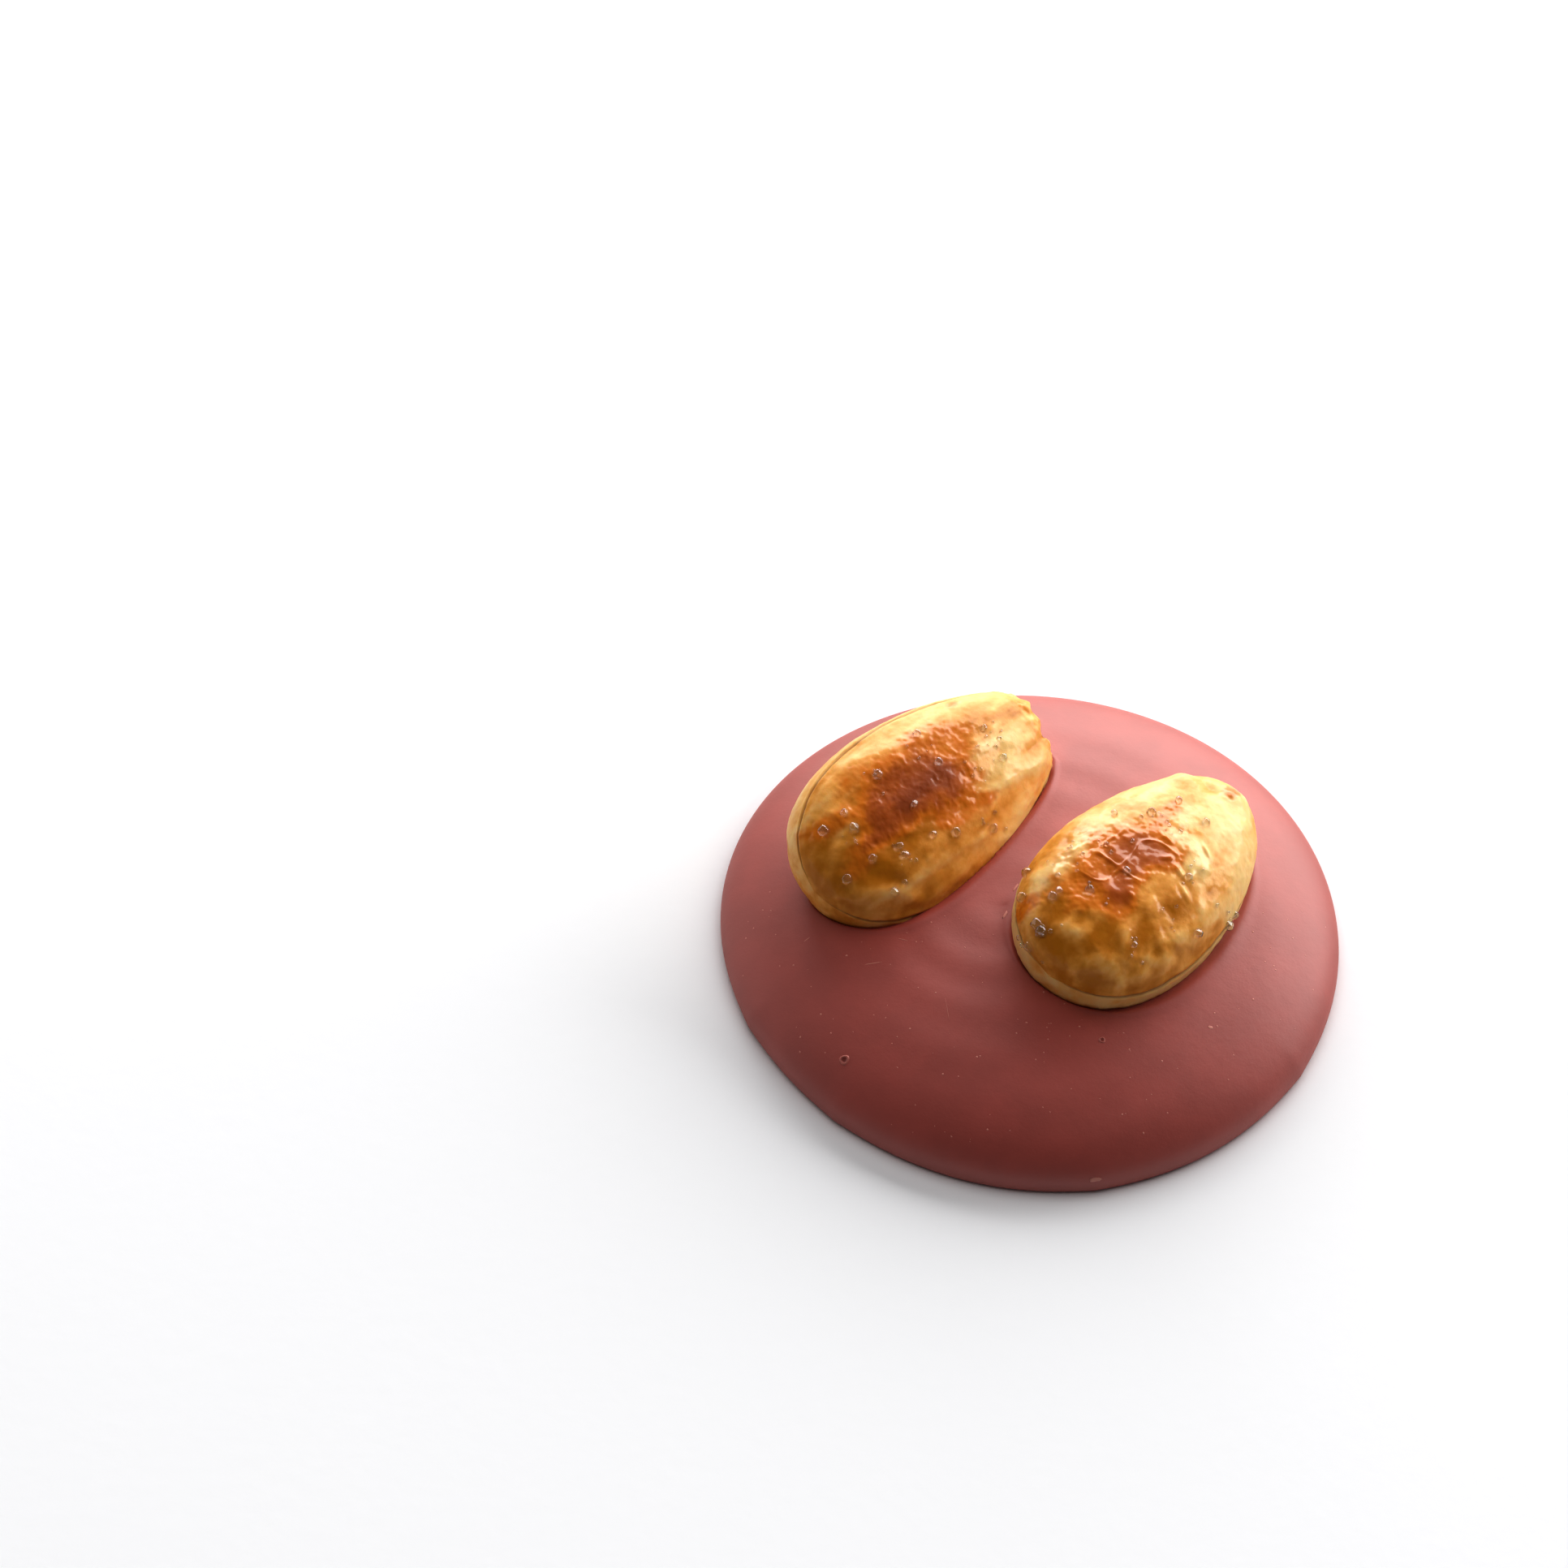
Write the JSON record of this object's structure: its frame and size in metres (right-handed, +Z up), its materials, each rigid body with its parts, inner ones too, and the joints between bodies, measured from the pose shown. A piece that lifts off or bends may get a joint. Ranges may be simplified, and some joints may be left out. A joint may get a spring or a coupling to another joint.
{
  "type": "ruby chocolate disc with almonds",
  "caption": "Low domed disc of pink ruby chocolate with toasted, salted whole almonds pressed into its top.",
  "frame": {"origin": "middle of the disc's flat underside", "axes": "+Z up through the crown; +Y away from the picture's viewer, +X to the viewer's right"},
  "size_m": [0.0418, 0.0421, 0.0116],
  "materials": {
    "ruby_chocolate": "satin pink chocolate, dusty sheen",
    "toasted_almond_left": "glossy toasted almond skin, cream to amber with a dark roasted patch",
    "toasted_almond_right": "glossy toasted almond skin, cream to amber with a dark roasted patch"
  },
  "bodies": {
    "root": {"chocolate_disc": "ruby_chocolate", "almond_left": "toasted_almond_left", "almond_right": "toasted_almond_right"}
  },
  "joints": []
}
